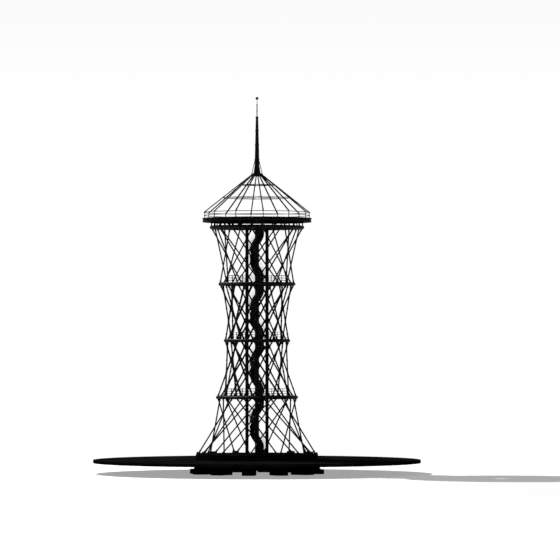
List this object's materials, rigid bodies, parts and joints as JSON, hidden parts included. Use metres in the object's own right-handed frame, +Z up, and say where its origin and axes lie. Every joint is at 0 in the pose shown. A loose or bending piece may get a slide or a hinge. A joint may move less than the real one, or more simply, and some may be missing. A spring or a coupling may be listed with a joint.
{
  "type": "observation tower scale model",
  "caption": "Waisted lattice observation tower on a round podium, with ring platforms, a helical stair core, a railed top deck, an open conical roof cage and a mast; half-size model.",
  "frame": {"origin": "on the tower's axis at ground level, in the plane of the footings' undersides", "axes": "+Z up along the mast, -Y towards the side the picture shows, +X to that view's right"},
  "size_m": [26.036, 26.036, 29.9674],
  "materials": {
    "dark_concrete": "dark grey fair-faced concrete, board joints, dry and matt",
    "black_painted_steel": "black satin structural paint",
    "black_deck_plate": "dark ribbed floor plate, matt",
    "black_stair_steel": "black chequered stair plate",
    "black_rail_steel": "black satin rail paint"
  },
  "bodies": {
    "root": {"bar_shoes": "black_painted_steel", "core_columns": "black_painted_steel", "deck_beams": "black_painted_steel", "deck_edge": "black_painted_steel", "deck_floor": "black_deck_plate", "deck_middle_rail": "black_rail_steel", "deck_posts": "black_painted_steel", "deck_railing_posts": "black_rail_steel", "eaves_ring": "black_painted_steel", "finial": "black_painted_steel", "floor_beams": "black_painted_steel", "footings": "dark_concrete", "foundation_raft": "dark_concrete", "inner_lattice_1": "black_painted_steel", "inner_lattice_2": "black_painted_steel", "inner_lattice_3": "black_painted_steel", "inner_lattice_4": "black_painted_steel", "inner_ring_1": "black_painted_steel", "inner_ring_2": "black_painted_steel", "inner_ring_3": "black_painted_steel", "inner_ring_4": "black_painted_steel", "mast": "black_painted_steel", "mast_rod": "black_painted_steel", "mast_struts": "black_painted_steel", "newel": "black_painted_steel", "outer_lattice_1": "black_painted_steel", "outer_lattice_2": "black_painted_steel", "outer_lattice_3": "black_painted_steel", "outer_lattice_4": "black_painted_steel", "outer_ring_1": "black_painted_steel", "outer_ring_2": "black_painted_steel", "outer_ring_3": "black_painted_steel", "outer_ring_4": "black_painted_steel", "platform_floor_1": "black_deck_plate", "platform_floor_2": "black_deck_plate", "platform_floor_3": "black_deck_plate", "platform_floor_4": "black_deck_plate", "platform_railing_1": "black_rail_steel", "platform_railing_2": "black_rail_steel", "platform_railing_3": "black_rail_steel", "plinth": "dark_concrete", "podium_slab": "dark_concrete", "railing_posts": "black_rail_steel", "ring_ties": "black_painted_steel", "roof_hub": "black_painted_steel", "roof_purlins": "black_painted_steel", "roof_ribs": "black_painted_steel", "roof_tie_rods": "black_painted_steel", "stair_flight_1": "black_stair_steel", "stair_flight_2": "black_stair_steel", "stair_flight_3": "black_stair_steel", "stair_flight_4": "black_stair_steel"}
  },
  "joints": []
}
